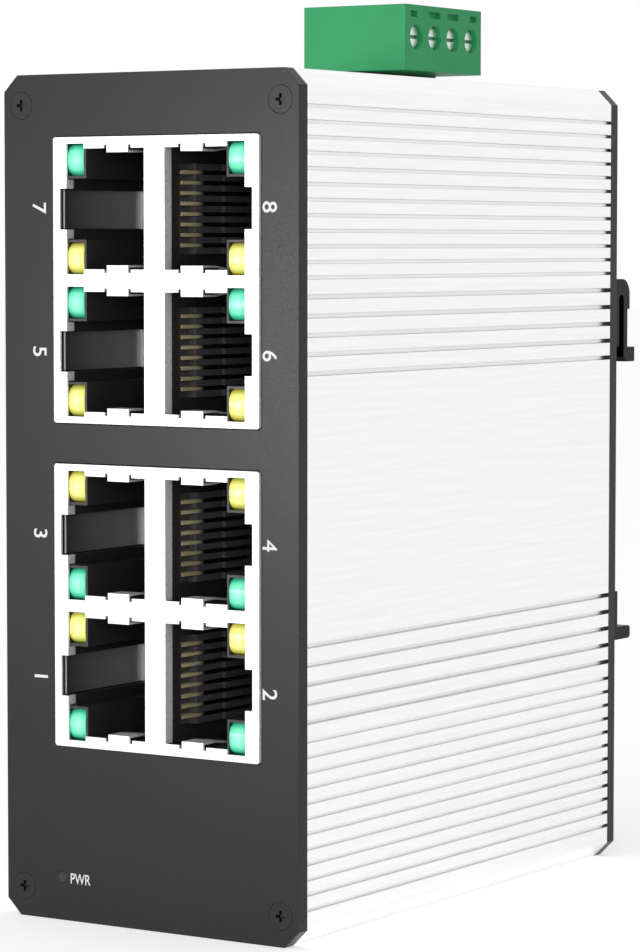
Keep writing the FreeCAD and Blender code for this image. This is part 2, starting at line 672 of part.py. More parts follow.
def make_contacts(down):
    """Hairpin contacts, each bent from one strip that ends in a foot on the board."""
    contacts = []
    seat = CARRIER_NEAR + CARRIER_BACK_T + CONTACT_T / 2
    for side, port in module_ports(down):
        for index, z in enumerate(way_heights()):
            back = tail_depth(side, index)
            rise = [(CONTACT_TIP_FAR, CONTACT_TIP_DEPTH), (seat + BEND_RISE, CARRIER_FRONT + BEND_FRONT),
                    (seat, CARRIER_FRONT + BEND_FRONT + BEND_RISE), (seat, back)]
            path = [(MODULE_X + side * a, Y_FACE + b) for a, b in rise]
            path.append((X_BOARD, Y_FACE + back))
            ring = strip_outline(path, CONTACT_T)
            points = [V(a, b, port + z - CONTACT_W / 2) for a, b in ring]
            contacts.append(prism(points, V(0, 0, CONTACT_W)))
    return contacts


def make_lamps(down, way):
    """Rectangular lamps with bowed fronts, in one corner of every port of a module."""
    lamps = []
    for side, port in module_ports(down):
        low, high = (port + z for z in lamp_range(way, 0))
        x0, x1 = span(side, LAMP_NEAR, LAMP_FAR)
        middle, back = depth(LAMP_SETBACK, SHEET + LAMP_L)
        edge = middle + LAMP_BOW
        bow = Part.Arc(V(x0, edge, low), V(x0, middle, (low + high) / 2), V(x0, edge, high))
        rest = Part.makePolygon([V(x0, edge, high), V(x0, back, high), V(x0, back, low), V(x0, edge, low)])
        face = Part.Face(Part.Wire([bow.toShape()] + rest.Edges))
        lamps.append(face.extrude(V(x1 - x0, 0, 0)))
    return lamps


# ---- board ----------------------------------------------------------------------------------
def make_board():
    board = block((X_SOLDER, X_BOARD), (Y_FRONT_END + BOARD_END_GAP, Y_BACK_END - BOARD_END_GAP),
                  (Z_BOTTOM + END_WALL + BOARD_EDGE_GAP, Z_TOP - END_WALL - BOARD_EDGE_GAP))
    through = (X_SOLDER, X_BOARD)
    holes = []
    for down in MODULE_DOWN:
        for y, z in shield_pegs(down):
            holes.append(block(through, about(y, PEG_W + 2 * PEG_GAP), about(z, SHEET + 2 * PEG_GAP)))
    for y in pole_places():
        pin_hole = PIN_W + 2 * PEG_GAP
        holes.append(block(through, about(y, pin_hole), about(pin_tail_height(), pin_hole)))
    notches = [Part.makeCylinder(SCREW_PORT_R + GUIDE_GAP, HOUSING_L, V(x, Y_FRONT_END, z), V(0, 1, 0))
               for x, z in panel_screw_axes()]
    return cut(board, holes + notches)


def below_top(place):
    """Y and Z of a place given behind the jack modules and below the housing's top."""
    return (Y_BEHIND + place[0], Z_TOP - place[1])


def above_bottom(place):
    """Y and Z of a place given behind the jack modules and above the housing's bottom."""
    return (Y_BEHIND + place[0], Z_BOTTOM + place[1])


def on_board(size, place):
    """Block that lies on the board's component face. Size is along Y, along Z and height."""
    return block((X_BOARD, X_BOARD + size[2]), about(place[0], size[0]), about(place[1], size[1]))


def make_switch_chip():
    """Flat package with leads on four sides."""
    y, z = (Y_REAR - CHIP_FROM_REAR, Z_TOP - CHIP_DOWN)
    along, up, height = CHIP
    body = block((X_BOARD + CHIP_STAND, X_BOARD + height), about(y, along), about(z, up))
    rim = [e for e in body.Edges if e.BoundBox.XMin > X_BOARD + height - 0.01]
    body = body.makeChamfer(CHIP_CHAMFER, rim)
    out, thick = CHIP_LEAD
    rows = [(along + 2 * out, up - CHIP_CORNER), (along - CHIP_CORNER, up + 2 * out)]
    leads = [block((X_BOARD, X_BOARD + thick), about(y, a), about(z, b)) for a, b in rows]
    return fused([body] + leads)


def make_transformers():
    y = Y_REAR - TRANSFORMER_FROM_REAR
    middle = Z_MID - TRANSFORMER_DROP
    row = [middle + (i - (TRANSFORMERS - 1) / 2) * TRANSFORMER_STEP for i in range(TRANSFORMERS)]
    return [on_board(TRANSFORMER, (y, z)) for z in row]


def make_inductor():
    """Square power inductor with cut corners."""
    body = on_board(INDUCTOR, above_bottom(INDUCTOR_AT))
    edges = [e for e in body.Edges if abs(e.tangentAt(e.FirstParameter).x) > 0.9]
    return body.makeChamfer(INDUCTOR_CORNER, edges)


def make_capacitors():
    bases = [below_top(place) for place in CAPACITOR_AT]
    return [Part.makeCylinder(CAPACITOR_D / 2, CAPACITOR_H, V(X_BOARD, y, z), V(1, 0, 0))
            for y, z in bases]


def make_crystal():
    body = on_board(CRYSTAL, below_top(CRYSTAL_AT))
    edges = [e for e in body.Edges if abs(e.tangentAt(e.FirstParameter).x) > 0.9]
    return body.makeFillet(CRYSTAL[0] * 0.45, edges)


def make_power_led():
    x, z = power_lamp_place()
    front = Y_FRONT_END + BOARD_END_GAP
    return block((X_BOARD, X_BOARD + POWER_LED[2]), (front, front + POWER_LED[0]), about(z, POWER_LED[1]))


def make_light_pipe():
    x, z = power_lamp_place()
    length = PANEL_T + BOARD_END_GAP
    return Part.makeCylinder(POWER_HOLE_D / 2 - FIT, length, V(x, Y_FRONT, z), V(0, 1, 0))


# ---- terminal block -------------------------------------------------------------------------
def pole_places():
    """Y of the four poles."""
    return [Y_PLUG + (i - (POLES - 1) / 2) * POLE_PITCH for i in range(POLES)]


def pin_tail_height():
    return Z_SHOULDER - HEADER_DEPTH - PIN_TAIL_DROP


def make_header():
    """Shrouded header that stands on the board's edge and comes up through the housing."""
    length = about(Y_PLUG, PLUG_L)
    outer = block((X_BOARD, X_HEADER), length, (Z_SHOULDER - HEADER_DEPTH, Z_SHOULDER))
    cavity = block((X_BOARD + HEADER_WALL, X_HEADER - HEADER_WALL), about(Y_PLUG, PLUG_L - 2 * HEADER_WALL),
                   (Z_SHOULDER - HEADER_DEPTH + HEADER_FLOOR, Z_SHOULDER))
    holes = [block(about(X_PIN, PIN_W), about(y, PIN_W),
                   (Z_SHOULDER - HEADER_DEPTH, Z_SHOULDER)) for y in pole_places()]
    return cut(outer, [cavity] + holes)


def make_header_pins():
    pins = []
    path = [(X_PIN, Z_SHOULDER - PIN_TIP_DOWN), (X_PIN, pin_tail_height()),
            (X_SOLDER - TAIL_OUT, pin_tail_height())]
    ring = strip_outline(path, PIN_W)
    for y in pole_places():
        points = [V(a, y - PIN_W / 2, b) for a, b in ring]
        pins.append(prism(points, V(0, PIN_W, 0)))
    return pins


def cage_x():
    """X stretch of an open cage, whose nut wall ends short of the chamber by its travel."""
    nut_end = X_CHAMBER - CAGE_END_GAP - CAGE_TRAVEL
    return (nut_end - CAGE_L, nut_end)


def make_plug_body():
    """Clamp block with four chambers, and the nose that goes into the header."""
    top = Z_SHOULDER + PLUG_H
    block_part = block((X_NOSE, X_SCREW_FACE), about(Y_PLUG, PLUG_L), (Z_SHOULDER, top))
    nose_end = Z_SHOULDER - HEADER_DEPTH + HEADER_FLOOR + NOSE_END_GAP
    nose = block((X_NOSE, X_NOSE_FAR), about(Y_PLUG, PLUG_L - 2 * (HEADER_WALL + NOSE_GAP)),
                 (nose_end, Z_SHOULDER))
    body = fused([block_part, nose])
    tools = []
    places = pole_places()
    for number, y in enumerate(places):
        chamber = (X_CHAMBER - CHAMBER_L, X_CHAMBER)
        width = POLE_PITCH - 2 * CHAMBER_SIDE
        tools.append(block(chamber, about(y, width), (Z_CHAMBER, Z_CHAMBER + CHAMBER_H)))
        socket = PIN_W + 2 * (LEAF_GAP + STRIP_T + SOCKET_GAP)
        tools.append(block(about(X_PIN, socket), about(y, STRIP_W + 2 * SOCKET_GAP), (nose_end, Z_CHAMBER)))
        axis = V(1, 0, 0)
        hole = CLAMP_D / 2 + CLAMP_HOLE_GAP
        sink = CLAMP_HEAD_D / 2 + CLAMP_HOLE_GAP
        seat = X_SCREW_FACE - CLAMP_SUNK - CLAMP_HEAD_T - CLAMP_THRUST_GAP
        tools.append(Part.makeCylinder(hole, CHAMBER_IN, V(X_CHAMBER, y, Z_CLAMP), axis))
        tools.append(Part.makeCylinder(sink, X_SCREW_FACE - seat, V(seat, y, Z_CLAMP), axis))
        tools += wire_entry(y)
        left = MARK_SHORT if number == POLES - 1 else MARK_HALF
        right = MARK_SHORT if number == 0 else MARK_HALF
        tools.append(block((X_SCREW_FACE - MARK_D, X_SCREW_FACE), (y - left, y + right),
                           (top - MARK_DOWN - MARK_H, top - MARK_DOWN)))
    return cut(body, tools)


def wire_entry(y):
    """Square wire hole with a funnel, over the space between the strip and the cage's floor."""
    top = Z_SHOULDER + PLUG_H
    middle = X_STRIP - STRIP_T / 2 - WIRE_HOLE / 2
    hole = block(about(middle, WIRE_HOLE), about(y, WIRE_HOLE), (Z_CHAMBER + CHAMBER_H, top))
    rings = []
    for size, z in ((WIRE_HOLE, top - WIRE_FUNNEL), (WIRE_HOLE + 2 * WIRE_FUNNEL, top)):
        half = size / 2
        corners = [V(middle + a * half, y + b * half, z) for a, b in ((-1, -1), (1, -1), (1, 1), (-1, 1))]
        rings.append(Part.makePolygon(corners + [corners[0]]))
    return [hole, Part.makeLoft(rings, True, True)]


def make_plug_contacts():
    """Each contact: two leaves that grip the header pin, and a strip that stands in the cage."""
    contacts = []
    z_turn = Z_CHAMBER + STRIP_T / 2
    leaf = PIN_W / 2 + LEAF_GAP + STRIP_T / 2
    low = z_turn - LEAF_L
    long_leaf = [(X_PIN - leaf, low), (X_PIN - leaf, z_turn), (X_STRIP, z_turn),
                 (X_STRIP, Z_CHAMBER + CHAMBER_H - CAGE_TOP_GAP)]
    short_leaf = [(X_PIN + leaf, low), (X_PIN + leaf, z_turn)]
    for y in pole_places():
        pieces = []
        for path in (long_leaf, short_leaf):
            ring = strip_outline(path, STRIP_T)
            points = [V(a, y - STRIP_W / 2, b) for a, b in ring]
            pieces.append(prism(points, V(0, STRIP_W, 0)))
        contacts.append(fused(pieces))
    return contacts


def make_clamp_screw(y):
    """Captive slotted screw; it turns but stays in its seat while the cage climbs it."""
    face = X_SCREW_FACE - CLAMP_SUNK
    tip = X_STRIP + STRIP_T / 2 + CLAMP_TIP_GAP
    length = face - tip
    head = CLAMP_HEAD_D / 2
    screw = turned([(0, 0), (head, 0), (head, CLAMP_HEAD_T), (CLAMP_D / 2, CLAMP_HEAD_T),
                    (CLAMP_D / 2, length), (0, length)], V(face, y, Z_CLAMP), V(-1, 0, 0))
    slot = block((face - CLAMP_SLOT_D, face), about(y, CLAMP_HEAD_D), about(Z_CLAMP, CLAMP_SLOT_W))
    return screw.cut(slot)


def make_clamp_cage(y):
    """Rising cage: nut wall, two sides and the floor that lifts the wire."""
    x0, x1 = cage_x()
    outer = block((x0, x1), about(y, CAGE_W), about(Z_CLAMP, CAGE_H))
    inner = block((x0 + CAGE_FLOOR_T, x1 - CAGE_NUT_T), about(y, CAGE_W - 2 * CAGE_SIDE_T),
                  about(Z_CLAMP, CAGE_H))
    bore = Part.makeCylinder(CLAMP_D / 2 + FIT, CAGE_NUT_T, V(x1 - CAGE_NUT_T, y, Z_CLAMP), V(1, 0, 0))
    return cut(outer, [inner, bore])


# ---- all nodes ------------------------------------------------------------------------------
def main():
    os.makedirs("parts", exist_ok=True)
    save("housing", [make_housing()])
    save("front_panel", [make_front_panel()])
    save("rear_panel", [make_rear_panel()])
    save("front_panel_screws", make_panel_screws(Y_FRONT, 1))
    save("rear_panel_screws", make_panel_screws(Y_REAR, -1))
    save("din_clip", [make_din_clip()])
    save("din_clip_screws", make_clip_screws())
    save("main_board", [make_board()])
    for name, down in zip(("upper", "lower"), MODULE_DOWN):
        save(f"{name}_jack_shield", [make_shield(down)])
        save(f"{name}_jack_housing", [make_jack_housing(down)])
        save(f"{name}_contact_carriers", [make_carrier(side, port) for side, port in module_ports(down)])
        save(f"{name}_jack_contacts", make_contacts(down))
    green_way = {"upper": 1, "lower": -1}
    for name, down in zip(("upper", "lower"), MODULE_DOWN):
        save(f"{name}_green_lamps", make_lamps(down, green_way[name]))
        save(f"{name}_yellow_lamps", make_lamps(down, -green_way[name]))
    save("switch_chip", [make_switch_chip()])
    save("transformers", make_transformers())
    save("power_inductor", [make_inductor()])
    save("filter_capacitors", make_capacitors())
    save("voltage_regulator", [on_board(REGULATOR, above_bottom(REGULATOR_AT))])
    save("surge_suppressor", [on_board(SUPPRESSOR, above_bottom(SUPPRESSOR_AT))])
    save("input_fuse", [on_board(FUSE, below_top(FUSE_AT))])
    save("crystal", [make_crystal()])
    save("power_led", [make_power_led()])
    save("power_light_pipe", [make_light_pipe()])
    save("terminal_header", [make_header()])
    save("header_pins", make_header_pins())
    save("terminal_plug_body", [make_plug_body()])
    save("plug_contacts", make_plug_contacts())
    for number, y in enumerate(pole_places(), start=1):
        save(f"clamp_screw_{number}", [make_clamp_screw(y)])
        save(f"clamp_cage_{number}", [make_clamp_cage(y)])


main()
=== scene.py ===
"""Looks of an eight-port ethernet switch for a 35 mm DIN rail. Metres, same frame as the solids."""
import math

import bpy
from mathutils import Matrix, Vector


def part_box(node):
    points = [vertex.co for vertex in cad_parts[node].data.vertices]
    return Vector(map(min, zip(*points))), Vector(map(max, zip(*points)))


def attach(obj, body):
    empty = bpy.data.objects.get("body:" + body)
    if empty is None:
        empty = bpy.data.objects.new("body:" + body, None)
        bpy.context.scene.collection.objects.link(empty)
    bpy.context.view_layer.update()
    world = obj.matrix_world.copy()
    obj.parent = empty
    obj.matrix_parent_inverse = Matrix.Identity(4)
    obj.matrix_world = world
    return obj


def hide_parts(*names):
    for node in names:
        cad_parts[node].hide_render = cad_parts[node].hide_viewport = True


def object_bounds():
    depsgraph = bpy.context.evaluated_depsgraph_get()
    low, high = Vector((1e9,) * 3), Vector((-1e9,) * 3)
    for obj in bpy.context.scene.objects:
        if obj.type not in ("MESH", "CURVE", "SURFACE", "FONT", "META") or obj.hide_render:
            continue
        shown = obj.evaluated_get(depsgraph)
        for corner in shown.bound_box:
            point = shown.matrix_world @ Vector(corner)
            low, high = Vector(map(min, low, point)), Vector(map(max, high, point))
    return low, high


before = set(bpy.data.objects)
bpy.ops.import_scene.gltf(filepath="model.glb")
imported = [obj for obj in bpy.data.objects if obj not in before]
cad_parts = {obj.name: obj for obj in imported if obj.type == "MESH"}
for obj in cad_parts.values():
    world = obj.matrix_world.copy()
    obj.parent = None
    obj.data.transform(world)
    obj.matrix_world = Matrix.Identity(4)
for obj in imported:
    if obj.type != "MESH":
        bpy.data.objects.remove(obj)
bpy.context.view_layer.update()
MM = 0.001
WHITE = (1, 1, 1, 1)


# ---- small helpers --------------------------------------------------------------------------
def linear(hex_colour):
    """Linear colour of an sRGB hex value."""
    values = [int(hex_colour[i:i + 2], 16) / 255 for i in (1, 3, 5)]
    return tuple(v / 12.92 if v <= 0.04045 else ((v + 0.055) / 1.055) ** 2.4 for v in values) + (1.0,)


def deselect():
    """Nothing selected, so that the next operator acts on its own piece only."""
    if bpy.context.object and bpy.context.object.mode != "OBJECT":
        bpy.ops.object.mode_set(mode="OBJECT")
    bpy.ops.object.select_all(action="DESELECT")


def apply_place(piece):
    """Leaves the piece's object at the origin, with its place in its mesh."""
    deselect()
    piece.select_set(True)
    bpy.context.view_layer.objects.active = piece
    bpy.ops.object.transform_apply(location=True, rotation=True, scale=True)


def add(tree, kind, settings=None, links=None, into=None):
    """Adds a node with its settings and links, and feeds its first output into a shader's input."""
    node = tree.nodes.new(kind)
    for key, value in (settings or {}).items():
        if isinstance(key, int) or key in node.inputs:
            node.inputs[key].default_value = value
        else:
            setattr(node, key, value)
    for key, source in (links or {}).items():
        tree.links.new(source, node.inputs[key])
    if into:
        shader, socket = into
        live = [out for out in node.outputs if out.enabled]
        tree.links.new(live[0], shader.inputs[socket])
    return node


def start_material(name, **sockets):
    """Material with a Principled shader whose plain sockets are set. Spaces are written as _."""
    material = bpy.data.materials.new(name)
    material.use_nodes = True
    shader = material.node_tree.nodes["Principled BSDF"]
    for key, value in sockets.items():
        shader.inputs[key.replace("_", " ")].default_value = value
    return material, material.node_tree, shader


# ---- finishes -------------------------------------------------------------------------------
GRAIN_BAND = {"From Min": 0.3, "From Max": 0.7}     # where most of a noise's values lie
GLOSS_SWING = 0.06                                  # roughness either side of a finish's own
BEVEL_SAMPLES = 6


def speckled(name, low, high, rough, grain_mm, mottle_mm=4.0, relief_mm=0.004, edge_mm=0.08, **sockets):
    """Finish whose colour drifts between two tones and whose gloss and relief follow a fine grain.
    The drift and the grain are coarser than the real ones, so that they show. The edges shade as
    if broken to a small radius, as moulded, sheared and coated edges are."""
    material, tree, shader = start_material(name, **sockets)
    place = add(tree, "ShaderNodeTexCoord").outputs["Object"]
    mottle = add(tree, "ShaderNodeTexNoise", {"Scale": 1 / (mottle_mm * MM), "Detail": 2.0},
                 {"Vector": place})
    grain = add(tree, "ShaderNodeTexNoise", {"Scale": 1 / (grain_mm * MM), "Detail": 2.0}, {"Vector": place})
    add(tree, "ShaderNodeMix", {"data_type": "RGBA", 6: linear(low), 7: linear(high)},
        {0: mottle.outputs["Fac"]}, (shader, "Base Color"))
    add(tree, "ShaderNodeMapRange",
        {**GRAIN_BAND, "To Min": rough - GLOSS_SWING, "To Max": rough + GLOSS_SWING},
        {"Value": grain.outputs["Fac"]}, (shader, "Roughness"))
    edge = add(tree, "ShaderNodeBevel", {"samples": BEVEL_SAMPLES, "Radius": edge_mm * MM}).outputs["Normal"]
    add(tree, "ShaderNodeBump", {"Strength": 0.4, "Distance": relief_mm * MM},
        {"Height": grain.outputs["Fac"], "Normal": edge}, (shader, "Normal"))
    return material


def anodised_extrusion():
    """Extruded aluminium, clear anodised: near-white satin with faint drawn lines along the extrusion."""
    material, tree, shader = start_material("clear_anodised_aluminium", Metallic=1.0)
    place = add(tree, "ShaderNodeTexCoord").outputs["Object"]
    drawn = add(tree, "ShaderNodeMapping", {"Scale": (1, 0.03, 1)}, {"Vector": place}).outputs["Vector"]
    lines = add(tree, "ShaderNodeTexNoise", {"Scale": 1 / (0.45 * MM), "Detail": 3.0}, {"Vector": drawn})
    grain = add(tree, "ShaderNodeTexNoise", {"Scale": 1 / (0.12 * MM), "Detail": 2.0}, {"Vector": place})
    metal = add(tree, "ShaderNodeMix", {"data_type": "RGBA", 6: linear("#F0F0F0"), 7: linear("#FFFFFF")},
                {0: lines.outputs["Fac"]})
    # painted shade: an ambient-occlusion mask darkens the base colour in the grooves, which stay a little
    # greyer
    painted_light_mask = add(tree, "ShaderNodeAmbientOcclusion", {"samples": 8, "Distance": 1.2 * MM})
    grey = add(tree, "ShaderNodeMapRange", {"From Min": 0.1, "From Max": 0.8, "To Min": 0.84, "To Max": 1.0},
               {"Value": painted_light_mask.outputs["AO"]})
    add(tree, "ShaderNodeMix", {"data_type": "RGBA", "blend_type": "MULTIPLY", 0: 1.0},
        {6: metal.outputs[2], 7: grey.outputs[0]}, (shader, "Base Color"))
    add(tree, "ShaderNodeMapRange", {**GRAIN_BAND, "To Min": 0.26, "To Max": 0.36},
        {"Value": grain.outputs["Fac"]}, (shader, "Roughness"))
    edge = add(tree, "ShaderNodeBevel", {"samples": BEVEL_SAMPLES, "Radius": 0.15 * MM}).outputs["Normal"]
    add(tree, "ShaderNodeBump", {"Strength": 0.3, "Distance": 0.003 * MM},
        {"Height": grain.outputs["Fac"], "Normal": edge}, (shader, "Normal"))
    return material


def powder_coat():
    """Aluminium plate with a dark grey powder coat: a fine even pebble and a broad soft sheen."""
    return speckled("dark_grey_powder_coat", "#232324", "#272728", 0.31, 0.16, 9.0, 0.002, 0.05,
                    Specular_IOR_Level=0.18)


def plated_inwards(name, mouth, inner, near_mm, far_mm, **sockets):
    """Metal whose colour changes with depth behind the jacks' faces, from one colour to another: light and
    shade painted by depth.
    """
    material, tree, shader = start_material(name, **sockets)
    place = add(tree, "ShaderNodeTexCoord").outputs["Object"]
    depth = add(tree, "ShaderNodeSeparateXYZ", {}, {0: place}).outputs["Y"]
    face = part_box("upper_jack_shield")[0][1]
    change = add(tree, "ShaderNodeMapRange",
                 {"From Min": face + near_mm * MM, "From Max": face + far_mm * MM}, {"Value": depth})
    add(tree, "ShaderNodeMix", {"data_type": "RGBA", 6: linear(mouth), 7: linear(inner)},
        {0: change.outputs[0]}, (shader, "Base Color"))
    edge = add(tree, "ShaderNodeBevel", {"samples": BEVEL_SAMPLES, "Radius": 0.06 * MM}).outputs["Normal"]
    tree.links.new(edge, shader.inputs["Normal"])
    return material


def clear_plastic(name, low, high):
    """Clear moulded plastic over something dark: glossy, with a slight cloud in it."""
    material, tree, shader = start_material(name, Roughness=0.16, Coat_Weight=0.3, Coat_Roughness=0.05)
    place = add(tree, "ShaderNodeTexCoord").outputs["Object"]
    cloud = add(tree, "ShaderNodeTexNoise", {"Scale": 1 / (2.5 * MM)}, {"Vector": place})
    add(tree, "ShaderNodeMix", {"data_type": "RGBA", 6: linear(low), 7: linear(high)},
        {0: cloud.outputs["Fac"]}, (shader, "Base Color"))
    return material


def lit_lens(name, rim, core, first, step):
    """Tinted diffusing lens with a painted glow: deeper in colour at its rim, painted nearly white at its
    middle, and faintly emitting its tint. The bright core is drawn round the first lens's middle and repeats
    at the lenses' own spacing."""
    material, tree, shader = start_material(
        name, Roughness=0.18, Subsurface_Weight=0.25, Subsurface_Radius=(1.0, 1.0, 1.0),
        Subsurface_Scale=0.5 * MM, Coat_Weight=0.3, Coat_Roughness=0.05, Emission_Strength=0.22)
    place = add(tree, "ShaderNodeTexCoord").outputs["Object"]
    from_first = add(tree, "ShaderNodeVectorMath", {"operation": "SUBTRACT", 1: first}, {0: place})
    half = Vector(step) / 2
    wrapped = add(tree, "ShaderNodeVectorMath", {"operation": "WRAP", 1: half, 2: -half},
                  {0: from_first.outputs[0]})
    flat = add(tree, "ShaderNodeVectorMath", {"operation": "MULTIPLY", 1: (1, 0, 0.75)},
               {0: wrapped.outputs[0]})
    painted_light_mask = add(tree, "ShaderNodeVectorMath", {"operation": "LENGTH"}, {0: flat.outputs[0]}).outputs["Value"]
    fade = add(tree, "ShaderNodeMapRange", {"From Min": 0.1 * MM, "From Max": 1.15 * MM}, {"Value": painted_light_mask})
    tint = add(tree, "ShaderNodeMix", {"data_type": "RGBA", 6: linear(core), 7: linear(rim)},
               {0: fade.outputs[0]}, (shader, "Base Color"))
    # painted glow: the lens emits its own tint, palest at the core
    tree.links.new(tint.outputs[2], shader.inputs["Emission Color"])
    return material


def dress():
    """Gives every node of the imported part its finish."""
    # moulded glass-filled nylon: black, dull and slightly grainy
    black = speckled("black_glass_filled_nylon", "#0C0C0D", "#121213", 0.45, 0.3, Specular_IOR_Level=0.25)
    # tin-plated steel sheet: white metal, smooth from the roll
    sheet = speckled("tin_plated_steel_sheet", "#F8F8F7", "#FDFDFC", 0.3, 0.5, 4.0, 0.001, Metallic=0.25)
    # gold flash where a plug makes contact, bright gold at the mouth; further in the contacts are painted
    # near black, a painted shade of the deep slots
    gold = plated_inwards("selective_gold_flash", "#FFEDB8", "#1E1A14", 5.0, 6.0,
                          Metallic=0.5, Roughness=0.25)
    # moulded polyester: black, with a slight sheen inside the bays
    bay = speckled("black_polyester_moulding", "#2E2E30", "#353537", 0.34, 0.4, 4.0, 0.002, 0.04,
                   Specular_IOR_Level=0.25)
    # the same polyester without gloss, where the contacts slide: a paler charcoal
    comb = speckled("matt_polyester_comb", "#505054", "#59595D", 0.5, 0.4, 4.0, 0.002, 0.06,
                    Specular_IOR_Level=0.3)
    # zinc-plated steel: cool white metal with a soft sheen
    zinc = speckled("zinc_plated_steel", "#DDE3E0", "#F0F4F2", 0.3, 0.3, Metallic=0.8)
    # moulded epoxy: dull charcoal
    epoxy = speckled("moulded_epoxy_package", "#1C1C1E", "#242426", 0.55, 0.2)
    # drawn aluminium can: plain silver
    can = speckled("drawn_aluminium_can", "#C9CACB", "#D9DADB", 0.3, 0.4, Metallic=1.0)
    # tinned brass: warm dull silver
    tin = speckled("tinned_brass", "#CFCBC0", "#DDD9CE", 0.28, 0.3, Metallic=1.0)
    coat = powder_coat()
    # blackened steel screw, filled nearly level with the coat
    screw = speckled("blackened_steel_screw", "#232324", "#272728", 0.31, 0.2, 9.0, 0.002, 0.04,
                     Specular_IOR_Level=0.18)
    finishes = {
        "housing": anodised_extrusion(),
        "front_panel": coat,
        "rear_panel": coat,
        "front_panel_screws": screw,
        "rear_panel_screws": screw,
        # black anodised extrusion: deep even black
        "din_clip": speckled("black_anodised_extrusion", "#060606", "#0A0A0A", 0.4, 0.3,
                             Specular_IOR_Level=0.15),
        "din_clip_screws": zinc,
        # green solder mask over glass laminate: glossy dark green
        "main_board": speckled("green_solder_mask", "#0D4A28", "#125A32", 0.3, 0.3),
        "switch_chip": epoxy,
        "transformers": epoxy,
        # pressed ferrite: dull grey with a coarse grain
        "power_inductor": speckled("pressed_ferrite", "#3A3A3C", "#454547", 0.7, 0.4),
        "filter_capacitors": can,
        "voltage_regulator": epoxy,
        "surge_suppressor": epoxy,
        # glazed ceramic tube: cream
        "input_fuse": speckled("glazed_ceramic", "#D9D5C8", "#E6E2D6", 0.4, 0.4),
        "crystal": can,
        # water-clear epoxy, unlit
        "power_led": clear_plastic("clear_epoxy", "#E2E8DC", "#F2F5EE"),
        # acrylic light pipe, dark because the lamp behind it is off
        "power_light_pipe": clear_plastic("unlit_acrylic_light_pipe", "#101110", "#181A18"),
        "terminal_header": black,
        "header_pins": tin,
        # moulded polyamide: flat mid green with a soft sheen
        "terminal_plug_body": speckled("green_polyamide", "#2D9A5E", "#35A568", 0.45, 0.25,
                                       edge_mm=0.12, Specular_IOR_Level=0.2),
        "plug_contacts": tin,
    }
    for name in ("upper", "lower"):
        finishes[f"{name}_jack_shield"] = sheet
        finishes[f"{name}_jack_housing"] = bay
        finishes[f"{name}_contact_carriers"] = comb
        finishes[f"{name}_jack_contacts"] = gold
    for number in range(1, 5):
        finishes[f"clamp_screw_{number}"] = zinc
        finishes[f"clamp_cage_{number}"] = zinc
    for name, finish in finishes.items():
        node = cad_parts[name]
        node.data.materials.clear()
        node.data.materials.append(finish)


# ---- lenses and latch leaves of the jacks -----------------------------------------------------
LENS_W = 1.91 * MM
LENS_H = 3.05 * MM
LENS_ROUND = 1.15 * MM      # upper and lower edges of a lens's front
LENS_ROUND_STEPS = 6
LEAF_T = 0.12 * MM
LEAF_HALF = 1.9 * MM
LEAF_FRONT = 0.45 * MM      # behind the shield's face
LEAF_BACK = 13.6 * MM
LEAF_LIP = 0.14 * MM        # turned-in ends of the leaf
LEAF_STOP = 0.48 * MM
LATCH_FLOOR = 0.54 * MM     # moulding outside the latch's slot
SHIELD_T = 0.25 * MM
PORT_PITCH = 14.0 * MM


def block_between(low, high):
    """Cube primitive stretched between two corners, left in edit mode with nothing selected."""
    deselect()
    bpy.ops.mesh.primitive_cube_add(size=1, location=(low + high) / 2)
    piece = bpy.context.object
    piece.scale = high - low
    apply_place(piece)
    bpy.ops.object.mode_set(mode="EDIT")
    bpy.ops.mesh.select_all(action="DESELECT")
    return piece


def pick(piece, kind, test):
    """Selects the edges or faces whose middle passes a test, as the only ones."""
    bpy.ops.object.mode_set(mode="EDIT")
    bpy.ops.mesh.select_mode(type=kind)
    bpy.ops.mesh.select_all(action="DESELECT")
    bpy.ops.object.mode_set(mode="OBJECT")
    mesh = piece.data
    for item in (mesh.edges if kind == "EDGE" else mesh.polygons):
        corners = [mesh.vertices[i].co for i in item.vertices]
        item.select = test(sum(corners, Vector()) / len(corners), corners)
    bpy.ops.object.mode_set(mode="EDIT")


def make_lens(low, high):
    """One lens: a block whose front is rounded over above and below."""
    lens = block_between(low, high)
    pick(lens, "EDGE", lambda middle, ends: middle.y < low.y + LENS_ROUND / 2
         and abs(ends[0].x - ends[1].x) > LENS_W / 2)
    bpy.ops.mesh.bevel(offset=LENS_ROUND, segments=LENS_ROUND_STEPS)
    bpy.ops.object.mode_set(mode="OBJECT")
    bpy.ops.object.shade_smooth_by_angle(angle=math.radians(40))
    return lens


def copy_of(piece, name, move):
    """Copy of a finished piece with a mesh of its own, moved inside that mesh."""
    twin = piece.copy()
    twin.data = piece.data.copy()
    twin.data.transform(Matrix.Translation(move))
    twin.name = name
    bpy.context.scene.collection.objects.link(twin)
    return twin


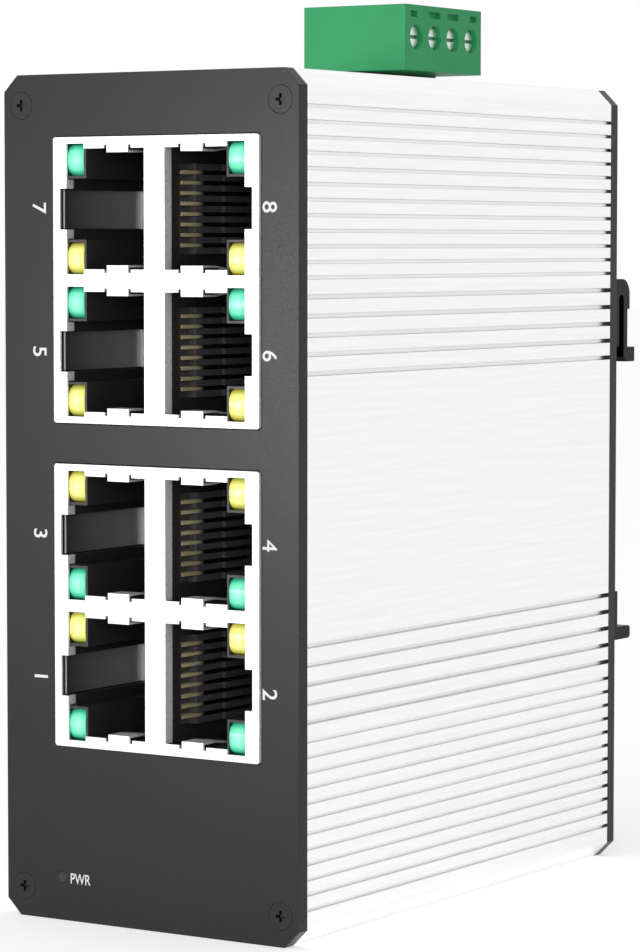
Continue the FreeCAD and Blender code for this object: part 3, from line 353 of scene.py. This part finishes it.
def fit_lenses():
    """The four lenses of each colour in each module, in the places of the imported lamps."""
    tones = {"green": ("#3CDDAA", "#A4FCE0"), "yellow": ("#ECE65A", "#FFFDB4")}
    near, far = (Vector(corner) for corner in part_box("upper_green_lamps"))
    size = Vector((LENS_W, far.y - near.y, LENS_H))
    pattern = make_lens(near, near + size)
    for row in ("upper", "lower"):
        for colour, (rim, core) in tones.items():
            node = f"{row}_{colour}_lamps"
            low, high = (Vector(corner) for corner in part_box(node))
            step = (high.x - low.x - LENS_W, 1.0, high.z - low.z - LENS_H)
            lenses = [copy_of(pattern, f"{row}_{colour}_lenses", Vector((x, low.y, z)) - near)
                      for x in (low.x, high.x - LENS_W) for z in (low.z, high.z - LENS_H)]
            deselect()
            for lens in lenses:
                lens.select_set(True)
            bpy.context.view_layer.objects.active = lenses[0]
            bpy.ops.object.join()
            first = low + Vector((LENS_W / 2, 0, LENS_H / 2))
            lenses[0].data.materials.append(lit_lens(f"{row}_{colour}_lens", rim, core, first, step))
            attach(lenses[0], "switch")
            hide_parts(node)
    bpy.data.objects.remove(pattern)


def make_latch_leaf(floor, way, face, finishes):
    """Thin metal leaf for the floor of a latch's slot, with its two ends turned in."""
    inner = floor + way * LEAF_T
    low = Vector((min(floor, inner), face + LEAF_FRONT, -LEAF_HALF))
    high = Vector((max(floor, inner), face + LEAF_BACK, LEAF_HALF))
    leaf = block_between(low, high)
    for y in (low.y + LEAF_T, high.y - LEAF_T):
        bpy.ops.mesh.select_all(action="SELECT")
        bpy.ops.mesh.bisect(plane_co=(0, y, 0), plane_no=(0, 1, 0))
    ends = ((low.y + LEAF_T / 2, LEAF_LIP), (high.y - LEAF_T / 2, LEAF_STOP))
    for y, height in ends:
        pick(leaf, "FACE", lambda middle, _: abs(middle.y - y) < LEAF_T / 4
             and abs(middle.x - inner) < LEAF_T / 4)
        bpy.ops.mesh.extrude_region_move(TRANSFORM_OT_translate={"value": (way * height, 0, 0)})
    bpy.ops.object.mode_set(mode="OBJECT")
    for finish in finishes:
        leaf.data.materials.append(finish)
    # the faces of the turned-in ends take the second finish, a painted highlight
    for side in leaf.data.polygons:
        if abs(side.center.x - inner) > LEAF_T / 2 and (side.center.x - inner) * way > 0:
            side.material_index = 1
    return leaf


def fit_latch_leaves():
    """A leaf in each of the eight latch slots: one modelled for each side, and copied."""
    # spring steel painted dark grey at the mouth and pale grey further in: painted light inside the latch's
    # slot
    steel = plated_inwards("spring_steel_painted_lighter_inwards", "#4A4A4C", "#CFCFD0", 0.4, 11.0,
                           Metallic=0.5, Roughness=0.35)
    # painted highlight on the leaves' turned-in ends: pale grey at the front lip, white at the far stop
    bright = plated_inwards("spring_steel_painted_highlight", "#B4B4B4", "#FFFFFF", 0.6, 2.0,
                            Metallic=0.2, Roughness=0.4)
    near, far = (Vector(corner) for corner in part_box("upper_jack_housing"))
    sides = (("left", near.x + SHIELD_T + LATCH_FLOOR, 1), ("right", far.x - LATCH_FLOOR, -1))
    for side, floor, way in sides:
        pattern = make_latch_leaf(floor, way, near.y - SHIELD_T, (steel, bright))
        for row in ("upper", "lower"):
            low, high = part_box(f"{row}_jack_housing")
            for place, shift in (("high", PORT_PITCH / 2), ("low", -PORT_PITCH / 2)):
                up = (low[2] + high[2]) / 2 + shift
                leaf = copy_of(pattern, f"{row}_{side}_{place}_latch_leaf", Vector((0, 0, up)))
                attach(leaf, "switch")
        bpy.data.objects.remove(pattern)


# ---- printing on the front panel ------------------------------------------------------------
PRINT_T = 0.012 * MM
NUMERAL_H = 1.68 * MM
NUMERAL_LEFT = -13.2 * MM
NUMERAL_RIGHT = 14.2 * MM
NUMERAL_UP = (28.85 * MM, 14.7 * MM, -3.4 * MM, -17.7 * MM)
POWER_WORD_H = 1.06 * MM
POWER_WORD_STRETCH = 0.78
POWER_WORD_PLACE = (-8.42 * MM, -37.73 * MM)
STROKE_SWELL = 0.012        # thickens the strokes, in the height of the letters


def printed(name, words, height, stretch, middle, turn, ink):
    """Flat lettering, just proud of the front panel. Turn is clockwise as seen from the front."""
    deselect()
    bpy.ops.object.text_add()
    word = bpy.context.object
    word.data.body = words
    word.data.align_x = "CENTER"
    word.data.align_y = "CENTER"
    word.data.extrude = 0.5
    word.data.offset = STROKE_SWELL
    bpy.ops.object.convert(target="MESH")
    word = bpy.context.object
    low = Vector([min(v.co[i] for v in word.data.vertices) for i in range(3)])
    high = Vector([max(v.co[i] for v in word.data.vertices) for i in range(3)])
    grow = height / (high.y - low.y)
    centre = (low + high) / 2
    settle = Matrix.Diagonal((grow * stretch, grow, PRINT_T, 1)) @ Matrix.Translation(-centre)
    stand = Matrix.Rotation(math.pi / 2, 4, "X")
    spin = Matrix.Rotation(turn, 4, "Y")
    word.data.transform(Matrix.Translation(middle) @ spin @ stand @ settle)
    word.name = name
    word.data.materials.append(ink)
    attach(word, "switch")
    return word


def print_front():
    """Port numbers beside the jacks and the word under the power lamp."""
    low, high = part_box("front_panel")
    middle = (low + high) / 2
    # screen-printed ink: matt white, a little thin in places
    ink = speckled("white_screen_print", "#F2F2F1", "#FBFBFA", 0.6, 0.1)
    y = low.y - PRINT_T / 2
    for row, up in enumerate(NUMERAL_UP):
        for number, x in ((7 - 2 * row, NUMERAL_LEFT), (8 - 2 * row, NUMERAL_RIGHT)):
            place = Vector((middle.x + x, y, middle.z + up))
            printed(f"port_number_{number}", str(number), NUMERAL_H, 1.0, place, math.pi / 2, ink)
    right, up = POWER_WORD_PLACE
    place = Vector((middle.x + right, y, middle.z + up))
    printed("power_word", "PWR", POWER_WORD_H, POWER_WORD_STRETCH, place, 0.0, ink)


# ---- floor, light and camera ----------------------------------------------------------------
FLOOR_SIZE = 6.0
FLOOR_GLOW = 0.5            # lifts the paper to white, and leaves the part's shadow on it
WORLD_LIGHT = 0.5
WORLD_SEEN = 1.0
# name, place, width and height in metres, and power in watts
LAMPS = (("key_strip", (-0.31, -0.70, -0.01), (0.10, 0.10), 2.0),
         ("fill_softbox", (0.36, -0.62, 0.12), (0.25, 0.25), 0.8))
LAMP_AIM = Vector((0, -0.03, 0))


def show_white(tree):
    """1 for rays that should meet a white studio: those of the camera, of gloss and of clear parts."""
    path = add(tree, "ShaderNodeLightPath").outputs
    either = add(tree, "ShaderNodeMath", {"operation": "MAXIMUM"},
                 {0: path["Is Camera Ray"], 1: path["Is Glossy Ray"]}).outputs[0]
    return add(tree, "ShaderNodeMath", {"operation": "MAXIMUM"},
               {0: either, 1: path["Is Transmission Ray"]}).outputs[0]


def lay_floor():
    """Pale paper that reads as white and keeps the part's soft shadow."""
    deselect()
    low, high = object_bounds()
    bpy.ops.mesh.primitive_plane_add(size=FLOOR_SIZE, location=(0, 0, low[2]))
    floor = bpy.context.object
    floor.name = "floor"
    apply_place(floor)
    material, tree, shader = start_material("pale_paper", Base_Color=linear("#F7F7F7"), Roughness=0.9,
                                            Specular_IOR_Level=0.0)
    strength = add(tree, "ShaderNodeMath", {"operation": "MULTIPLY", 1: FLOOR_GLOW}, {0: show_white(tree)})
    glow = add(tree, "ShaderNodeEmission", {"Color": WHITE}, {"Strength": strength.outputs[0]})
    add(tree, "ShaderNodeAddShader", {}, {0: shader.outputs[0], 1: glow.outputs[0]},
        (tree.nodes["Material Output"], "Surface"))
    floor.data.materials.append(material)


def light_studio():
    """White studio: soft light all round, a key from the left of the lens and a fill from the right."""
    world = bpy.data.worlds.new("studio")
    bpy.context.scene.world = world
    world.use_nodes = True
    tree = world.node_tree
    tree.nodes.clear()
    lit = add(tree, "ShaderNodeBackground", {"Color": WHITE, "Strength": WORLD_LIGHT})
    seen = add(tree, "ShaderNodeBackground", {"Color": WHITE, "Strength": WORLD_SEEN})
    mix = add(tree, "ShaderNodeMixShader", {}, {0: show_white(tree), 1: lit.outputs[0], 2: seen.outputs[0]})
    add(tree, "ShaderNodeOutputWorld", {}, {"Surface": mix.outputs[0]})
    for name, place, (width, height), power in LAMPS:
        deselect()
        bpy.ops.object.light_add(type="AREA", location=place)
        lamp = bpy.context.object
        lamp.name = name
        lamp.data.shape = "RECTANGLE"
        lamp.data.size = width
        lamp.data.size_y = height
        lamp.data.energy = power
        aim = LAMP_AIM - Vector(place)
        lamp.rotation_euler = aim.to_track_quat("-Z", "Y").to_euler()


SENSOR = 36
AZIMUTH = math.radians(32.87)
ELEVATION = math.radians(3.72)
ROLL = math.radians(0.03)
LENS = 135.8
DISTANCE = 350.0 * MM
AIM_RIGHT = 16.7 * MM
AIM_UP = 2.78 * MM


def set_camera():
    """Long lens, from the front and a little to the right."""
    low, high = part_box("front_panel")
    back = Vector((math.sin(AZIMUTH) * math.cos(ELEVATION), -math.cos(AZIMUTH) * math.cos(ELEVATION),
                   math.sin(ELEVATION)))
    right = (-back).cross(Vector((0, 0, 1))).normalized()
    up = right.cross(-back)
    aim = Vector(((low.x + high.x) / 2, low.y, (low.z + high.z) / 2)) + right * AIM_RIGHT + up * AIM_UP
    data = bpy.data.cameras.new("camera")
    data.sensor_width = SENSOR
    data.lens = LENS
    camera = bpy.data.objects.new("camera", data)
    bpy.context.scene.collection.objects.link(camera)
    turn = Matrix((right, up, back)).transposed() @ Matrix.Rotation(ROLL, 3, "Z")
    camera.matrix_world = Matrix.Translation(aim + back * DISTANCE) @ turn.to_4x4()
    bpy.context.scene.camera = camera


set_camera()
light_studio()
lay_floor()
dress()
fit_lenses()
fit_latch_leaves()
print_front()
bpy.context.scene.view_settings.view_transform = "Standard"
deselect()
